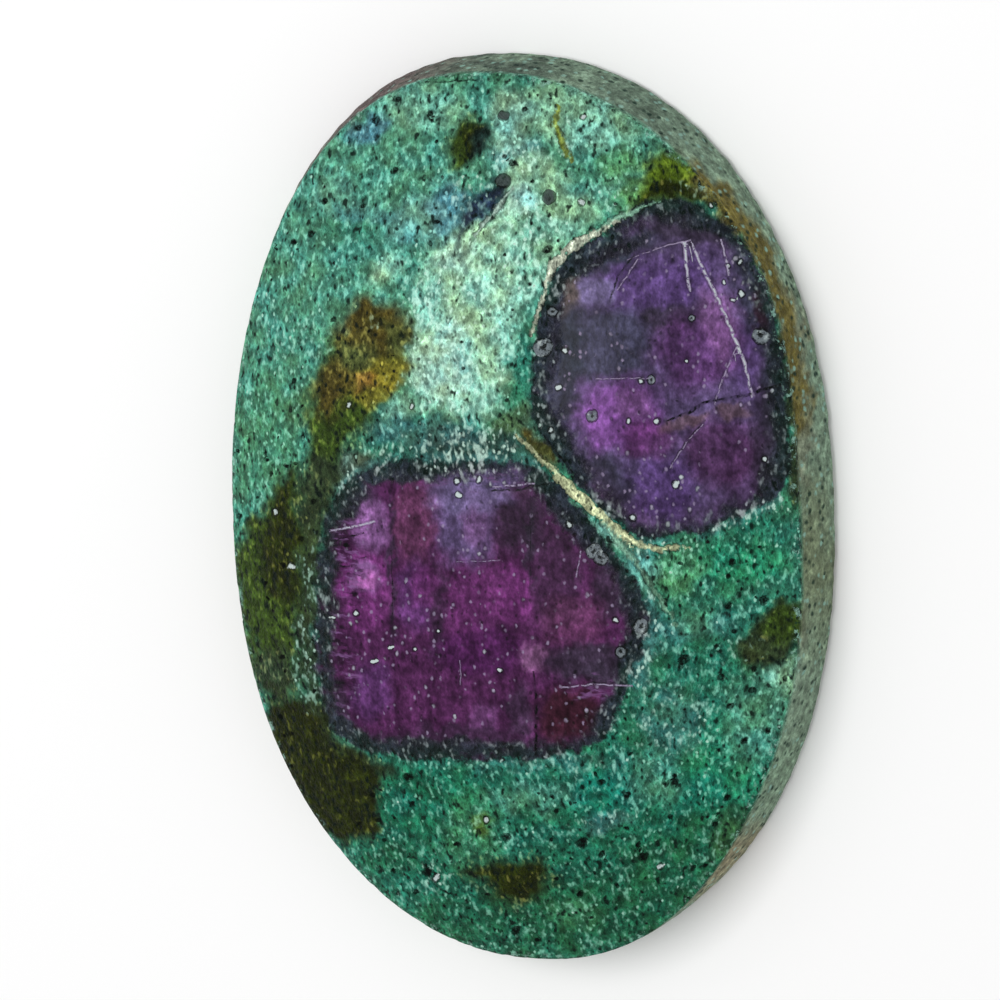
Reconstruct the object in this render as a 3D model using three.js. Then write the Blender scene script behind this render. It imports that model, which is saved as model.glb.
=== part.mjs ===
// Ruby in fuchsite: an oval cabochon, cut by hand from one piece of rock.
// Millimetres, +Z up, the long axis along Y. The flat underside lies on z = 0,
// and the origin is at the middle of its box.

import * as THREE from "three";

// The girdle is the widest outline, just above the bevel. The rim is the crease where the side
// wall meets the dome. Both are ovals that swell slightly into a rectangle: a squareness of 2
// would be a true ellipse. Hand grinding left them uneven, which the waves describe: each one
// pushes the outline out and in by a share of its radius, count times round, with a crest at
// an angle from +X in degrees.
const GIRDLE = {
  halfWidth: 11.6,
  halfLength: 17.2,
  squareness: 2.23,
  centre: [0, 0],
  waves: [{ count: 3, share: 0.0115, crest: 2 }],
};
const RIM = {
  halfWidth: 11.25,
  halfLength: 16.7,
  squareness: 2.23,
  centre: [0.09, -0.06],
  waves: [
    { count: 3, share: 0.0072, crest: 17 },
    { count: 4, share: 0.0129, crest: 13.5 },
  ],
};

const WALL_HEIGHT = 3.1; // underside to rim
const WALL_BULGE = 0.06; // how far the wall swells past a straight line, halfway up
const BEVEL_HEIGHT = 0.35; // at the bottom edge
const BEVEL_DEPTH = 0.3;
const DOME_RISE = 2.75; // rim to apex
const DOME_FULLNESS = 2.3; // 2 is a parabola, and more gives a flatter top and steeper shoulder
const APEX = [-0.4, 0.6]; // the apex lies a little off the middle

const POINTS_ROUND = 112;
const WALL_STEPS = 4;
const DOME_STEPS = 16;

const GREEN = 0x4f9078;
const ROUGHNESS = 0.42;

// A point of an oval outline at an angle in radians.
function ovalPoint(oval, angle) {
  const along = (cosine) => Math.sign(cosine) * Math.abs(cosine) ** (2 / oval.squareness);
  let swell = 1;
  for (const wave of oval.waves) {
    swell += wave.share * Math.cos(wave.count * (angle - THREE.MathUtils.degToRad(wave.crest)));
  }
  return new THREE.Vector2(
    oval.centre[0] + oval.halfWidth * swell * along(Math.cos(angle)),
    oval.centre[1] + oval.halfLength * swell * along(Math.sin(angle)),
  );
}

// One closed ring of points, counterclockwise seen from above. The place of each point is a
// function of its angle.
function ring(placeAt) {
  return Array.from({ length: POINTS_ROUND }, (_, i) => placeAt((2 * Math.PI * i) / POINTS_ROUND));
}

// The edge of the flat underside, drawn in from the girdle by the bevel.
function undersideRing() {
  return ring((angle) => {
    const edge = ovalPoint(GIRDLE, angle);
    edge.setLength(edge.length() - BEVEL_DEPTH);
    return new THREE.Vector3(edge.x, edge.y, 0);
  });
}

// A ring of the side wall: share 0 is the girdle and 1 is the rim.
function wallRing(share) {
  return ring((angle) => {
    const edge = ovalPoint(GIRDLE, angle).lerp(ovalPoint(RIM, angle), share);
    edge.setLength(edge.length() + WALL_BULGE * Math.sin(Math.PI * share));
    return new THREE.Vector3(edge.x, edge.y, THREE.MathUtils.lerp(BEVEL_HEIGHT, WALL_HEIGHT, share));
  });
}

// A ring of the dome: reach 1 is the rim and 0 is the apex.
function domeRing(reach) {
  return ring((angle) => {
    const edge = ovalPoint(RIM, angle);
    return new THREE.Vector3(
      THREE.MathUtils.lerp(APEX[0], edge.x, reach),
      THREE.MathUtils.lerp(APEX[1], edge.y, reach),
      WALL_HEIGHT + DOME_RISE * (1 - reach ** DOME_FULLNESS),
    );
  });
}

// Closes a stack of rings, listed from the underside up, with a point at each end.
function closedSurface(bottom, rings, top) {
  const points = [bottom, ...rings.flat(), top];
  const last = points.length - 1;
  const at = (level, i) => 1 + level * POINTS_ROUND + (i % POINTS_ROUND);
  const faces = [];
  for (let i = 0; i < POINTS_ROUND; i++) {
    faces.push(0, at(0, i + 1), at(0, i));
    for (let level = 0; level < rings.length - 1; level++) {
      faces.push(at(level, i), at(level, i + 1), at(level + 1, i + 1));
      faces.push(at(level, i), at(level + 1, i + 1), at(level + 1, i));
    }
    faces.push(last, at(rings.length - 1, i), at(rings.length - 1, i + 1));
  }
  return new THREE.BufferGeometry().setFromPoints(points).setIndex(faces);
}

// Moves the middle of the box to the origin in X and Y.
function centred(geometry) {
  geometry.computeBoundingBox();
  const middle = geometry.boundingBox.getCenter(new THREE.Vector3());
  return geometry.translate(-middle.x, -middle.y, 0);
}

function makeCabochon() {
  const rings = [undersideRing()];
  for (let step = 0; step <= WALL_STEPS; step++) {
    rings.push(wallRing(step / WALL_STEPS));
  }
  for (let step = 1; step < DOME_STEPS; step++) {
    rings.push(domeRing(1 - step / DOME_STEPS));
  }
  const apex = new THREE.Vector3(...APEX, WALL_HEIGHT + DOME_RISE);
  const geometry = centred(closedSurface(new THREE.Vector3(), rings, apex));
  geometry.computeVertexNormals();
  const stone = new THREE.MeshStandardMaterial({
    color: GREEN,
    roughness: ROUGHNESS,
    metalness: 0,
  });
  const mesh = new THREE.Mesh(geometry, stone);
  mesh.name = "cabochon";
  return mesh;
}

const part = new THREE.Group();
part.add(makeCabochon());

export default part;
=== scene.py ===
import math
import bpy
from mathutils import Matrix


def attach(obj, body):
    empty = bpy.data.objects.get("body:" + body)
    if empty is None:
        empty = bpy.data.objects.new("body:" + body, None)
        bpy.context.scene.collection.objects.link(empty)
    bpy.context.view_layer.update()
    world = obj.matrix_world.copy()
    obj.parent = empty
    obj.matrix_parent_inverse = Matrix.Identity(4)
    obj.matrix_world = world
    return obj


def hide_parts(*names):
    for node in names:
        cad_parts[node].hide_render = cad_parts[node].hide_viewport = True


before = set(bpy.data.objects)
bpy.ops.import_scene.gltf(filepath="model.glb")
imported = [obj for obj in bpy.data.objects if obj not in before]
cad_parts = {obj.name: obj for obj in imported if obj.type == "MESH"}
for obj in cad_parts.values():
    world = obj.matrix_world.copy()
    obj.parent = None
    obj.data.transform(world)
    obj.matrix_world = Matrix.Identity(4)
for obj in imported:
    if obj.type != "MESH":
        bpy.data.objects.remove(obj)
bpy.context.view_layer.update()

# Painted light in the colours: a highlight down the face's upper middle and over parts of the rubies,
# light from above on the face's top, a sheen greying the wall, and shadow rings around pale grains.
# The finished look of an oval ruby in fuchsite cabochon. The stone is one dense mesh on the same
# formulas as the CAD solid that it replaces, except that the crease around its face is rounded,
# and drawn in a little on the right. Pits, cracks and uneven grinding are in its surface, and one
# procedural material makes its green rock, ruby crystals, veins and stains.
# Lengths are in millimetres until a mesh, a light or the camera is made, which turns them to metres.
# Places on the stone's face are pixels of the 1000 x 1000 reference photograph. They were read off it,
# and so were the colours, which were then corrected against the photograph area by area.

from types import SimpleNamespace

import bpy
import numpy as np
from mathutils import Matrix, Vector, noise

MM = 0.001

# ---------------------------------------------------------------- the stone's form

GIRDLE = {
    "half_width": 11.6,
    "half_length": 17.2,
    "squareness": 2.23,
    "centre": (0.0, 0.0),
    "waves": [(3, 0.0115, 2.0)],
    "ease": 0.0,
}
RIM = {
    "half_width": 11.25,
    "half_length": 16.7,
    "squareness": 2.23,
    "centre": (0.09, -0.06),
    "waves": [(3, 0.0072, 17.0), (4, 0.0129, 13.5)],
    "ease": 0.04,
}
EASE_TURN = math.radians(6.0)  # where an outline is drawn in by its ease, and how widely
EASE_SPREAD = math.radians(17.0)
WALL_HEIGHT = 3.1
WALL_BULGE = 0.06
BEVEL_HEIGHT = 0.35
BEVEL_DEPTH = 0.3
DOME_RISE = 2.75
DOME_FULLNESS = 2.3
APEX = (-0.4, 0.6)
CREASE_ROUND = 0.16  # how far from the rim its rounding reaches
CREASE_DROP = 0.05

FACE_COLUMNS = 210
FACE_ROWS = 320
WALL_ROWS = 8
BEVEL_ROWS = 3
COARSE = 2  # the underside has one cell for this many along the face's edge
UNDERSIDE_INSET = 1.5  # cells between the underside's grid and its edge
BOX_POINTS = 721

# Relief: how far the surface rises or falls from the smooth stone.
POLISH_WAVER = 0.012
GRIND_WAVER = 0.035
GRAIN_WAVER = 0.008
RUBY_PROUD = 0.02
EDGE_GROOVE = 0.03
GROOVE_PLACE = 0.02  # how far inside a crystal the groove around it is deepest
GROOVE_WIDTH = 0.09
CHIP_PIT = 0.02
CHIP_REACH = 0.16

# The relief's noise: the size of a lump and a seed.
POLISH_LUMPS = (1.6, 21)
GRIND_LUMPS = (0.45, 22)
GROOVE_LUMPS = (0.5, 23)
GRAIN_LUMPS = (0.24, 24)
CHIP_LUMPS = (0.45, 25)
GRIND_SQUEEZE = np.array((1.0, 1.0, 0.25))  # the wall's ridges run up it

# Relief of the marks: their depth or height, and where it starts and is full, 1 being the outline.
ROUND_RELIEF = {"speck": (-0.06, 1.3, 0.3), "ring": (-0.03, 1.0, 0.3), "grain": (0.015, 1.2, 0.4)}
LINE_RELIEF = {"crack": -0.03, "scratch": -0.01}
LINE_SOFTNESS = 1.5  # pixels

# The texture's layout, as shares of its width: left, foot and the width of a millimetre.
FACE_SHEET = (0.01, 0.01, 0.0284)
UNDERSIDE_SHEET = (0.71, 0.01, 0.0112)
STRIPS = 4
STRIP_LEFT = 0.7
STRIP_PITCH = 0.073
STRIP_WIDTH = 0.065
STRIP_FOOT = 0.43
STRIP_LENGTH = 0.56

# ---------------------------------------------------------------- the camera

PHOTO_SIZE = 1000.0
PX_PER_MM = 26.7  # at the aim's distance
CAMERA_DISTANCE = 190.0
LEAN_RIGHT = math.radians(18.0)  # the camera looks down on the dome from the +X, +Y side
LEAN_UP = math.radians(10.0)
ROLL = math.radians(2.08)
SENSOR = 36.0
CLIP_START = 10.0
DOME_MIDDLE = (-0.133, 0.02, 3.0)  # the point of the stone that shows at DOME_MIDDLE_PX
DOME_MIDDLE_PX = (512.6, 518.5)


def camera_axes():
    """The camera's right, up and backward directions."""
    back = Vector((math.sin(LEAN_RIGHT), math.sin(LEAN_UP), 0.0))
    back.z = math.sqrt(1.0 - back.length_squared)
    right = Vector((0.0, 1.0, 0.0)).cross(back).normalized()
    up = back.cross(right)
    cosine, sine = math.cos(ROLL), math.sin(ROLL)
    return cosine * right - sine * up, sine * right + cosine * up, back


RIGHT, UP, BACK = camera_axes()
AIM = (
    Vector(DOME_MIDDLE)
    - RIGHT * ((DOME_MIDDLE_PX[0] - PHOTO_SIZE / 2) / PX_PER_MM)
    + UP * ((DOME_MIDDLE_PX[1] - PHOTO_SIZE / 2) / PX_PER_MM)
)


def added(name, data):
    """A new object in the scene."""
    made = bpy.data.objects.new(name, data)
    bpy.context.scene.collection.objects.link(made)
    return made


def make_camera():
    data = bpy.data.cameras.new("camera")
    data.sensor_width = SENSOR
    data.lens = SENSOR * PX_PER_MM * CAMERA_DISTANCE / PHOTO_SIZE
    data.clip_start = CLIP_START * MM
    camera = added("camera", data)
    turn = Matrix((RIGHT, UP, BACK)).transposed().to_4x4()
    camera.matrix_world = Matrix.Translation((AIM + BACK * CAMERA_DISTANCE) * MM) @ turn
    bpy.context.scene.camera = camera


def photo_pixels(points):
    """Where points (n, 3) in millimetres show in the photograph, as (n, 2) pixels."""
    from_aim = points - np.array(AIM)
    nearer = 1.0 - from_aim @ np.array(BACK) / CAMERA_DISTANCE
    across = PHOTO_SIZE / 2 + PX_PER_MM * (from_aim @ np.array(RIGHT)) / nearer
    down = PHOTO_SIZE / 2 - PX_PER_MM * (from_aim @ np.array(UP)) / nearer
    return np.stack([across, down], axis=1)


# ---------------------------------------------------------------- the stone's mesh


def oval_points(oval, angle):
    """Points of an outline at angles in radians, as (n, 2)."""
    swell = np.ones_like(angle)
    for count, share, crest in oval["waves"]:
        swell += share * np.cos(count * (angle - math.radians(crest)))
    swell -= oval["ease"] * np.exp(-(((angle - EASE_TURN) / EASE_SPREAD) ** 2))

    def along(cosine):
        return np.sign(cosine) * np.abs(cosine) ** (2.0 / oval["squareness"])

    x = oval["centre"][0] + oval["half_width"] * swell * along(np.cos(angle))
    y = oval["centre"][1] + oval["half_length"] * swell * along(np.sin(angle))
    return np.stack([x, y], axis=1)


def oval_middle(oval):
    """The middle of an outline's box."""
    edge = oval_points(oval, np.linspace(0, 2 * math.pi, BOX_POINTS))
    return (edge.min(axis=0) + edge.max(axis=0)) / 2


def lengthened(flat, extra):
    """Points (n, 2) moved away from the axis by extra millimetres."""
    return flat * (1.0 + extra / np.linalg.norm(flat, axis=1, keepdims=True))


def disc_grid(columns, rows):
    """A square grid bent to fill a disc: angle and reach of each point, row by row."""
    across, down = np.meshgrid(np.linspace(-1, 1, columns + 1), np.linspace(-1, 1, rows + 1))
    x = (across * np.sqrt(1.0 - down**2 / 2)).ravel()
    y = (down * np.sqrt(1.0 - across**2 / 2)).ravel()
    return np.arctan2(y, x), np.minimum(np.hypot(x, y), 1.0)


def grid_faces(columns, rows):
    return [
        (at, at + 1, at + columns + 2, at + columns + 1)
        for row in range(rows)
        for at in range(row * (columns + 1), row * (columns + 1) + columns)
    ]


def grid_border(columns, rows):
    """The grid's outer points in order, counterclockwise from the lower left corner."""
    width = columns + 1
    south = list(range(columns))
    east = [columns + j * width for j in range(rows)]
    north = [rows * width + i for i in range(columns, 0, -1)]
    west = [j * width for j in range(rows, 0, -1)]
    return south + east + north + west


def ring_faces(upper, lower):
    count = len(upper)
    return [
        (upper[i], lower[i], lower[(i + 1) % count], upper[(i + 1) % count])
        for i in range(count)
    ]


def dome_points(angle, reach):
    """Points of the polished face, and how far each is from the crease around it."""
    edge = oval_points(RIM, angle)
    apex = np.array(APEX)
    flat = apex + (edge - apex) * reach[:, None]
    height = WALL_HEIGHT + DOME_RISE * (1.0 - reach**DOME_FULLNESS)
    to_rim = np.linalg.norm(edge - flat, axis=1)
    height -= CREASE_DROP * np.exp(-to_rim / CREASE_ROUND)
    return np.column_stack([flat, height]), to_rim


def wall_points(angle, share):
    """A ring of the side wall: share 0 is the girdle and 1 the rim."""
    flat = oval_points(GIRDLE, angle) * (1 - share) + oval_points(RIM, angle) * share
    height = BEVEL_HEIGHT + (WALL_HEIGHT - BEVEL_HEIGHT) * share
    to_rim = WALL_HEIGHT - height
    tuck = CREASE_DROP * math.exp(-to_rim / CREASE_ROUND)
    flat = lengthened(flat, WALL_BULGE * math.sin(math.pi * share) - tuck)
    return np.column_stack([flat, np.full(len(angle), height)])


def bevel_points(angle, turn):
    """A ring of the rounded bottom edge: turn 0 is the girdle and 1 the underside."""
    quarter = turn * math.pi / 2
    flat = lengthened(oval_points(GIRDLE, angle), BEVEL_DEPTH * (math.cos(quarter) - 1))
    height = BEVEL_HEIGHT * (1 - math.sin(quarter))
    return np.column_stack([flat, np.full(len(angle), height)])


def side_rings(angle):
    """The rings of the wall and the bevel, from the top down."""
    wall = [wall_points(angle, 1 - row / WALL_ROWS) for row in range(1, WALL_ROWS + 1)]
    return wall + [bevel_points(angle, row / BEVEL_ROWS) for row in range(1, BEVEL_ROWS + 1)]


def underside(ring):
    """The underside's points, which come after those of the ring around it, and its faces."""
    first = ring[-1] + 1
    columns, rows = FACE_COLUMNS // COARSE, FACE_ROWS // COARSE
    angle, reach = disc_grid(columns, rows)
    edge = lengthened(oval_points(GIRDLE, angle), -BEVEL_DEPTH)
    inner = reach * (1 - UNDERSIDE_INSET / columns)
    points = np.column_stack([edge * inner[:, None], np.zeros(len(angle))])
    faces = [tuple(first + at for at in reversed(face)) for face in grid_faces(columns, rows)]
    border = [first + at for at in grid_border(columns, rows)]
    for i, at in enumerate(border):
        arc = [ring[(i * COARSE + step) % len(ring)] for step in range(COARSE, -1, -1)]
        faces.append((at, border[(i + 1) % len(border)], *arc))
    return points, faces


def stone_surface():
    """The smooth stone: points in millimetres, faces, how much each point is wall or
    underside, from 0 to 1, and its distance from the crease."""
    angle, reach = disc_grid(FACE_COLUMNS, FACE_ROWS)
    face, to_rim = dome_points(angle, reach)
    faces = grid_faces(FACE_COLUMNS, FACE_ROWS)
    above = grid_border(FACE_COLUMNS, FACE_ROWS)
    blocks = [face]
    count = len(face)
    for ring in side_rings(angle[above]):
        below = list(range(count, count + len(ring)))
        faces += ring_faces(above, below)
        blocks.append(ring)
        count += len(ring)
        above = below

    flat, flat_faces = underside(above)
    points = np.concatenate([*blocks, flat])
    points[:, :2] -= oval_middle(GIRDLE)
    side = np.ones(len(points))
    side[:len(face)] = 0.0
    below_rim = WALL_HEIGHT - points[len(face):, 2]
    return points, faces + flat_faces, side, np.concatenate([to_rim, below_rim])


# ---------------------------------------------------------------- markings, read from the photograph

# Colours that the eye sees, 0 to 255.
COLOURS = {
    "green": (50, 120, 98), "jade": (78, 142, 120), "pale green": (140, 190, 164),
    "lime": (118, 168, 140), "deep green": (24, 100, 78), "forest": (28, 88, 60),
    "teal": (22, 118, 102), "blue": (74, 118, 136), "sea": (60, 110, 108), "leaf": (80, 140, 92),
    "emerald": (34, 130, 96), "fern": (56, 78, 26), "sage": (66, 94, 74), "slate green": (70, 84, 74),
    "wall olive": (106, 116, 88), "navy": (38, 50, 68), "olive": (62, 72, 14),
    "dark olive": (34, 42, 4), "moss": (80, 104, 24), "brown": (76, 68, 26), "ochre": (122, 118, 42),
    "bronze": (98, 91, 46), "umber": (98, 74, 62), "cream": (206, 214, 168), "straw": (158, 152, 84),
    "sprout": (124, 140, 56), "rust": (124, 98, 44), "plum": (72, 34, 72), "grape": (72, 28, 78),
    "purple": (86, 50, 100), "magenta": (110, 50, 110), "lilac": (128, 88, 140),
    "pink": (168, 98, 166), "violet": (80, 58, 108), "slate": (60, 60, 82), "haze": (88, 74, 112),
    "shadow": (46, 40, 54), "maroon": (54, 24, 38), "wine": (104, 58, 92), "rim blue": (38, 46, 56),
    "rim green": (24, 44, 40), "black": (8, 12, 10), "loden": (46, 62, 38), "drab": (78, 84, 42),
    "aqua": (98, 158, 148), "rose": (124, 82, 122), "periwinkle": (116, 104, 148),
    "bone": (200, 208, 186), "ice": (196, 210, 208), "frost": (196, 228, 212), "mist": (150, 196, 180),
    "pitch green": (14, 48, 38), "stone grey and sheen": (136, 146, 126), "orchid": (106, 64, 126),
    "khaki": (138, 126, 98), "purple grey": (92, 80, 78), "ring grey": (120, 130, 136),
    "pebble": (72, 84, 82), "scratch lilac": (156, 142, 172),
}

# The outlines of the two ruby crystals, with their dark rims.
UPPER_RUBY = [
    (634, 205), (610, 228), (582, 245), (561, 263), (549, 281), (541, 302), (536, 325), (531, 348),
    (530, 388), (529, 416), (545, 440), (565, 468), (584, 495), (604, 517), (628, 534), (656, 542),
    (692, 536), (726, 523), (758, 510), (784, 496), (791, 468), (790, 412), (785, 356), (776, 312),
    (763, 270), (746, 243), (722, 219), (700, 204), (680, 197),
]
LOWER_RUBY = [
    (322, 530), (327, 506), (340, 486), (366, 466), (398, 458), (440, 460), (480, 462), (518, 458),
    (545, 470), (570, 494), (590, 519), (609, 544), (627, 567), (644, 592), (652, 615), (647, 642),
    (636, 667), (626, 692), (618, 718), (604, 742), (578, 752), (540, 760), (500, 762), (460, 762),
    (420, 760), (386, 757), (352, 748), (332, 730), (320, 700), (315, 670), (314, 640), (317, 570),
]

# Soft patches: middle, half width, half height, turn clockwise in degrees, colour, strength.
# Partly painted highlight: the pale green and mist patches near the top of the face.
# Partly painted light from above: the jade upper left is lighter, the deep green and forest foot
# darker.
ROCK_PATCHES = [
    (400, 220, 230, 190, 0, "jade", 0.9), (275, 420, 60, 150, 4, "jade", 0.6),
    (640, 150, 90, 70, 40, "jade", 0.9), (600, 190, 50, 26, -20, "jade", 1),
    (265, 440, 32, 70, 0, "leaf", 0.4), (420, 110, 46, 26, 0, "pale green", 0.35),
    (574, 116, 66, 34, 10, "pale green", 0.6), (690, 730, 150, 150, -25, "deep green", 0.6),
    (540, 840, 230, 100, 0, "deep green", 0.8), (640, 890, 120, 50, -18, "forest", 0.8),
    (520, 930, 150, 45, 0, "forest", 0.7), (740, 562, 52, 26, 0, "emerald", 0.8),
    (735, 760, 60, 50, -15, "emerald", 0.7), (425, 790, 60, 34, 0, "emerald", 0.5),
    (680, 572, 32, 24, 0, "leaf", 0.7), (758, 716, 36, 56, 12, "jade", 0.8),
    (736, 836, 24, 30, 30, "fern", 0.5), (470, 832, 42, 38, 0, "leaf", 0.3),
    (480, 824, 13, 11, 0, "moss", 0.7), (600, 795, 36, 26, 0, "teal", 0.8),
    (412, 800, 44, 44, 0, "deep green", 1), (352, 222, 32, 28, 0, "green", 0.6),
    (620, 166, 30, 18, -20, "leaf", 0.7), (700, 790, 30, 25, 0, "teal", 0.5),
    (605, 822, 26, 11, 0, "sea", 0.7), (672, 722, 34, 40, 0, "sea", 0.6),
    (690, 630, 45, 18, -8, "sea", 0.6), (646, 640, 14, 60, 10, "sea", 0.8),
    (540, 763, 110, 10, 0, "sea", 0.4), (420, 430, 72, 15, 4, "sea", 0.9),
    (470, 450, 76, 20, 0, "rim blue", 0.75), (575, 212, 24, 16, 0, "pale green", 0.5),
    (600, 196, 30, 14, -20, "pale green", 0.1), (352, 472, 34, 24, -35, "slate green", 0.9),
    (512, 420, 22, 16, -30, "drab", 0.6), (596, 526, 40, 10, 45, "mist", 0.5),
    (534, 424, 11, 22, -20, "sage", 0.8), (630, 196, 22, 10, -30, "leaf", 0.8),
    (640, 566, 20, 26, -30, "aqua", 0.7), (516, 360, 20, 50, 0, "teal", 0.5),
    (420, 222, 38, 26, -25, "aqua", 1), (365, 130, 26, 14, -20, "blue", 0.8),
    (366, 214, 38, 12, 0, "blue", 0.4), (520, 155, 24, 18, -30, "blue", 0.4),
    (450, 212, 26, 34, -15, "blue", 0.7), (510, 122, 22, 42, 0, "mist", 0.5),
    (304, 404, 18, 26, 0, "moss", 0.4), (332, 345, 18, 16, 0, "moss", 0.5),
    (635, 855, 20, 16, 0, "forest", 0.5), (530, 797, 44, 16, 0, "jade", 0.75),
    (654, 780, 32, 26, 0, "jade", 0.6), (400, 406, 16, 16, 0, "pale green", 0.6),
    (784, 677, 20, 20, 0, "pale green", 0.6), (336, 196, 26, 24, 0, "aqua", 0.5),
    (395, 855, 28, 18, 0, "forest", 0.7), (752, 676, 16, 12, 0, "forest", 0.5),
    (695, 826, 20, 16, 0, "forest", 0.6), (695, 618, 26, 16, 0, "jade", 0.5),
    (755, 531, 24, 10, -22, "deep green", 0.6), (575, 915, 28, 14, 0, "leaf", 0.3),
]
# Partly painted reflection: the haze, lilac and periwinkle patches atop the lower ruby and the
# periwinkle one at the upper ruby's left carry the face's broad sheen across the crystals.
RUBY_PATCHES = [
    (655, 370, 130, 165, 0, "haze", 1), (650, 285, 62, 30, -12, "violet", 0.9),
    (596, 291, 20, 14, 0, "periwinkle", 0.9), (606, 345, 50, 34, -8, "slate", 0.95),
    (556, 350, 26, 90, 0, "rim blue", 0.8), (600, 254, 66, 14, -18, "rim blue", 0.9),
    (690, 228, 46, 14, 10, "shadow", 0.9), (758, 300, 18, 60, -15, "rim blue", 0.8),
    (776, 420, 14, 80, 0, "rim blue", 0.8), (668, 318, 26, 14, 0, "shadow", 0.9),
    (700, 350, 44, 40, -20, "purple", 0.8), (722, 325, 18, 40, -15, "lilac", 0.55),
    (745, 360, 14, 34, 0, "violet", 0.6), (620, 415, 42, 36, -10, "orchid", 1),
    (650, 440, 24, 20, 0, "magenta", 0.5), (722, 452, 40, 34, 0, "plum", 0.7),
    (660, 488, 34, 32, 0, "violet", 0.9), (600, 484, 36, 26, 40, "rim blue", 0.85),
    (764, 440, 14, 50, 0, "shadow", 0.7), (764, 306, 10, 28, 0, "maroon", 0.8),
    (565, 288, 15, 24, 0, "purple grey", 0.95), (684, 422, 26, 6, -18, "umber", 0.5),
    (734, 410, 15, 7, -10, "umber", 0.5), (480, 610, 150, 145, 0, "plum", 1),
    (368, 520, 18, 30, -10, "lilac", 0.8), (363, 577, 28, 22, 0, "magenta", 0.9),
    (364, 579, 16, 14, 0, "lilac", 0.8), (364, 580, 14, 8, 0, "pink", 0.8),
    (415, 522, 20, 38, 0, "wine", 0.75), (414, 596, 16, 34, 0, "orchid", 0.4),
    (484, 476, 50, 12, 0, "haze", 0.9), (392, 570, 3, 80, 0, "shadow", 0.7),
    (437, 610, 7, 50, 0, "shadow", 0.5), (466, 524, 28, 38, 0, "haze", 0.9),
    (476, 518, 14, 28, 0, "lilac", 0.55), (520, 522, 24, 30, 0, "shadow", 0.6),
    (474, 602, 26, 38, 0, "magenta", 0.45), (514, 594, 16, 30, 0, "magenta", 0.9),
    (531, 545, 3, 44, 0, "shadow", 0.7), (556, 575, 24, 50, 0, "shadow", 0.35),
    (480, 652, 42, 22, 0, "grape", 0.6), (575, 620, 30, 24, 0, "wine", 0.4),
    (590, 662, 44, 18, 0, "shadow", 0.85), (612, 590, 18, 26, 0, "shadow", 0.7),
    (534, 657, 14, 14, 0, "rose", 0.9), (570, 716, 34, 28, 0, "maroon", 1),
    (520, 712, 12, 26, 0, "shadow", 0.6), (485, 718, 14, 14, 0, "lilac", 0.2),
    (372, 690, 20, 28, 0, "purple", 0.7), (470, 496, 38, 16, 0, "periwinkle", 0.7),
    (424, 586, 14, 18, 0, "magenta", 0.6), (365, 615, 18, 18, 0, "magenta", 0.6),
    (634, 404, 18, 16, 0, "lilac", 0.5), (664, 254, 26, 13, -15, "shadow", 0.5),
    (695, 315, 18, 14, 0, "shadow", 0.4), (455, 737, 60, 12, 0, "shadow", 0.5),
    (336, 706, 14, 24, 0, "shadow", 0.5), (604, 676, 22, 14, 0, "shadow", 0.5),
]

# Where the dark rims are wider: as the rock patches, with no colour.
RIM_PATCHES = [
    (392, 472, 56, 12, 0, 1), (347, 498, 26, 24, 0, 1), (574, 520, 18, 62, -42, 1),
    (628, 630, 14, 60, 0, 0.7), (352, 736, 26, 14, 35, 0.9), (455, 746, 90, 9, 0, 0.8),
    (606, 718, 16, 32, 20, 0.6), (328, 600, 8, 110, 0, 0.5), (606, 252, 54, 12, -20, 1),
    (548, 330, 18, 62, 0, 1), (556, 440, 20, 46, -30, 0.8), (700, 220, 60, 14, 12, 0.8),
    (780, 400, 10, 110, -3, 0.9), (774, 482, 20, 28, 0, 0.8),
]

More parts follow.
